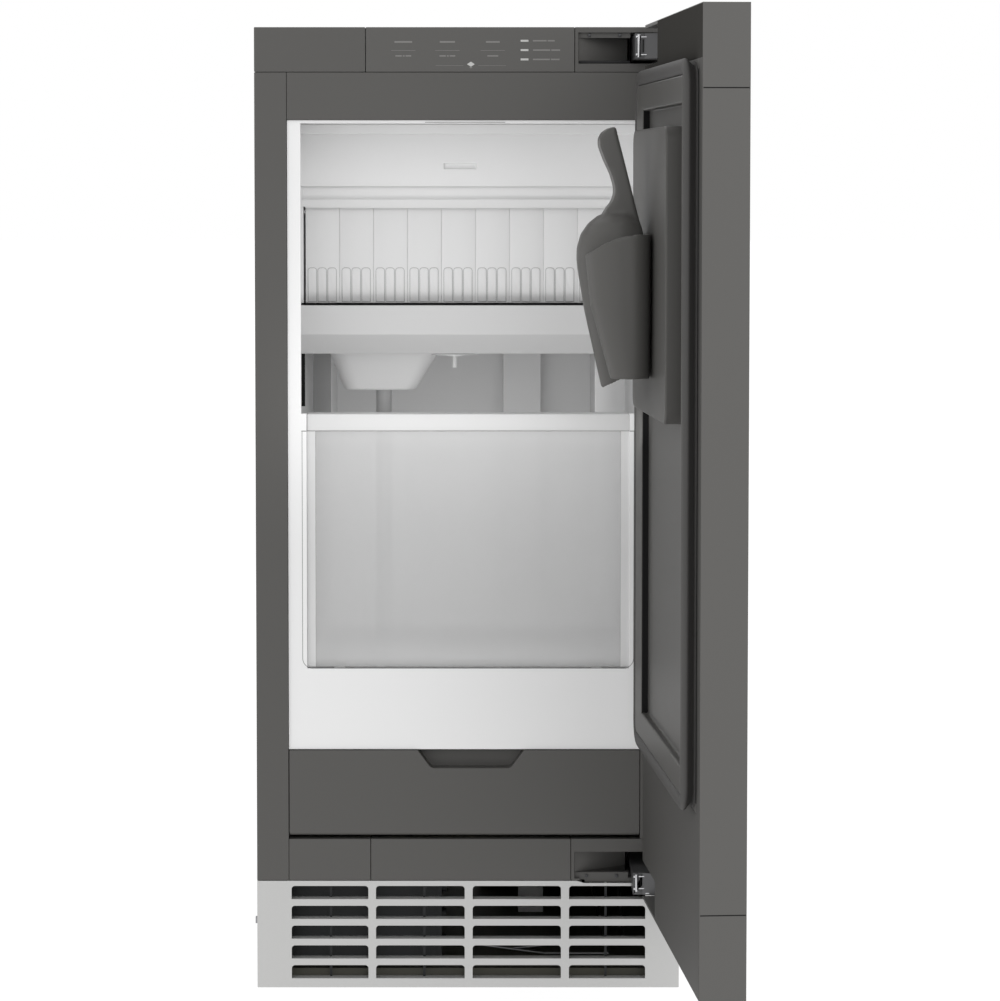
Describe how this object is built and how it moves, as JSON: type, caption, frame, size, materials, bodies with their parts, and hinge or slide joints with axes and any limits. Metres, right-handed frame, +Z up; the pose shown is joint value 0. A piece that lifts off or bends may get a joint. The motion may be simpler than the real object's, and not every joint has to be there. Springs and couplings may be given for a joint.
{
  "type": "ice maker",
  "caption": "Built-in undercounter ice maker with an open panel-ready door, ice bin, curtain of flaps, scoop in a door holder, tilting filter panel and kick grille.",
  "frame": {"origin": "middle of the kick grille's lower front edge, on the floor", "axes": "+X to the machine's right as seen from the front, +Y from the front into the cabinet, +Z up"},
  "size_m": [0.4068, 0.9912, 0.858],
  "materials": {
    "body_grey": "satin dark warm grey",
    "control_grey": "satin, slightly lighter grey",
    "galvanised": "galvanised sheet",
    "grille_steel": "satin",
    "screw_steel": "plated steel",
    "liner_white": "satin white",
    "tank_white": "satin off-white",
    "bin_clear": "clear smoky plastic",
    "foam": "rigid foam",
    "evaporator_metal": "nickel plated",
    "black_metal": "black",
    "black_plastic": "black",
    "motor_steel": "plain steel",
    "valve_plastic": "off-white",
    "foot_steel": "zinc plated",
    "door_skin": "satin dark warm grey",
    "door_plastic": "satin dark grey",
    "gasket_rubber": "matt",
    "scoop_plastic": "satin dark grey"
  },
  "bodies": {
    "cabinet": {"wrapper": "body_grey", "back_panel": "galvanised", "base_pan": "galvanised", "stile_left": "body_grey", "stile_right": "body_grey", "cross_rail": "body_grey", "top_cover_left": "body_grey", "control_panel": "control_grey", "hinge_pocket_upper": "body_grey", "lower_cover_left": "body_grey", "lower_cover_centre": "body_grey", "hinge_pocket_lower": "body_grey", "grille": "grille_steel", "fasteners": "screw_steel", "liner": "liner_white", "insulation": "foam", "evaporator_cover": "liner_white", "curtain_rail": "liner_white", "evaporator": "evaporator_metal", "spray_bar": "tank_white", "trough": "tank_white", "sump_basin": "tank_white", "drain_nozzle": "tank_white", "drain_tube": "tank_white", "compressor": "black_metal", "condenser": "black_metal", "fan_shroud": "black_plastic", "fan_motor": "motor_steel", "water_valve": "valve_plastic", "drain_pump": "black_plastic", "filter_head": "tank_white", "control_box": "motor_steel", "power_inlet": "black_plastic", "hinge_arms": "screw_steel"},
    "door": {"door_panel": "door_skin", "door_end_caps": "door_skin", "door_liner": "door_plastic", "gasket": "gasket_rubber", "door_hinges": "screw_steel", "scoop_holder": "scoop_plastic"},
    "scoop_body": {"scoop": "scoop_plastic"},
    "bin": {"bin_rim": "liner_white", "bin_tub": "bin_clear", "bin_window": "bin_clear"},
    "filter_panel": {"filter_door": "body_grey"},
    "cartridge": {"filter_cartridge": "tank_white"},
    "fan": {"fan_blade": "black_plastic"},
    "flap_1_body": {"flap_1": "liner_white"},
    "flap_2_body": {"flap_2": "liner_white"},
    "flap_3_body": {"flap_3": "liner_white"},
    "flap_4_body": {"flap_4": "liner_white"},
    "flap_5_body": {"flap_5": "liner_white"},
    "flap_6_body": {"flap_6": "liner_white"},
    "flap_7_body": {"flap_7": "liner_white"},
    "flap_8_body": {"flap_8": "liner_white"},
    "flap_9_body": {"flap_9": "liner_white"},
    "foot_front_left_body": {"foot_front_left": "foot_steel"},
    "foot_front_right_body": {"foot_front_right": "foot_steel"},
    "foot_rear_left_body": {"foot_rear_left": "foot_steel"},
    "foot_rear_right_body": {"foot_rear_right": "foot_steel"}
  },
  "joints": [
    {"name": "door_swing", "type": "hinge", "parent": "cabinet", "child": "door", "pos_m": [0.1834, -0.0407, 0.45], "axis": [0, 0, 1], "range_deg": [-93.8, 16]},
    {"name": "bin_slide", "type": "slide", "parent": "cabinet", "child": "bin", "axis": [0, -1, 0], "range_m": [0, 0.24]},
    {"name": "filter_panel_tilt", "type": "hinge", "parent": "cabinet", "child": "filter_panel", "pos_m": [0, 0.0045, 0.142], "axis": [1, 0, 0], "range_deg": [0, 75]},
    {"name": "filter_turn", "type": "hinge", "parent": "cabinet", "child": "cartridge", "pos_m": [0.06, 0.24, 0.176], "axis": [0, 1, 0], "range_deg": [0, 90]},
    {"name": "fan_spin", "type": "hinge", "parent": "cabinet", "child": "fan", "pos_m": [-0.1, 0.08, 0.071], "axis": [0, 1, 0], "continuous": true},
    {"name": "scoop_lift", "type": "slide", "parent": "door", "child": "scoop_body", "axis": [0, 0, 1], "range_m": [0, 0.14]},
    {"name": "flap_1_swing", "type": "hinge", "parent": "cabinet", "child": "flap_1_body", "pos_m": [-0.133, 0.093, 0.6945], "axis": [-1, 0, 0], "range_deg": [0, 45]},
    {"name": "flap_2_swing", "type": "hinge", "parent": "cabinet", "child": "flap_2_body", "pos_m": [-0.102, 0.093, 0.6945], "axis": [-1, 0, 0], "range_deg": [0, 45]},
    {"name": "flap_3_swing", "type": "hinge", "parent": "cabinet", "child": "flap_3_body", "pos_m": [-0.071, 0.093, 0.6945], "axis": [-1, 0, 0], "range_deg": [0, 45]},
    {"name": "flap_4_swing", "type": "hinge", "parent": "cabinet", "child": "flap_4_body", "pos_m": [-0.04, 0.093, 0.6945], "axis": [-1, 0, 0], "range_deg": [0, 45]},
    {"name": "flap_5_swing", "type": "hinge", "parent": "cabinet", "child": "flap_5_body", "pos_m": [-0.009, 0.093, 0.6945], "axis": [-1, 0, 0], "range_deg": [0, 45]},
    {"name": "flap_6_swing", "type": "hinge", "parent": "cabinet", "child": "flap_6_body", "pos_m": [0.022, 0.093, 0.6945], "axis": [-1, 0, 0], "range_deg": [0, 45]},
    {"name": "flap_7_swing", "type": "hinge", "parent": "cabinet", "child": "flap_7_body", "pos_m": [0.053, 0.093, 0.6945], "axis": [-1, 0, 0], "range_deg": [0, 45]},
    {"name": "flap_8_swing", "type": "hinge", "parent": "cabinet", "child": "flap_8_body", "pos_m": [0.084, 0.093, 0.6945], "axis": [-1, 0, 0], "range_deg": [0, 45]},
    {"name": "flap_9_swing", "type": "hinge", "parent": "cabinet", "child": "flap_9_body", "pos_m": [0.115, 0.093, 0.6945], "axis": [-1, 0, 0], "range_deg": [0, 45]},
    {"name": "level_front_left_turn", "type": "hinge", "parent": "cabinet", "child": "foot_front_left_body", "pos_m": [-0.174, 0.04, 0.02], "axis": [0, 0, 1], "continuous": true},
    {"name": "level_front_right_turn", "type": "hinge", "parent": "cabinet", "child": "foot_front_right_body", "pos_m": [0.174, 0.04, 0.02], "axis": [0, 0, 1], "continuous": true},
    {"name": "level_rear_left_turn", "type": "hinge", "parent": "cabinet", "child": "foot_rear_left_body", "pos_m": [-0.174, 0.52, 0.02], "axis": [0, 0, 1], "continuous": true},
    {"name": "level_rear_right_turn", "type": "hinge", "parent": "cabinet", "child": "foot_rear_right_body", "pos_m": [0.174, 0.52, 0.02], "axis": [0, 0, 1], "continuous": true}
  ]
}
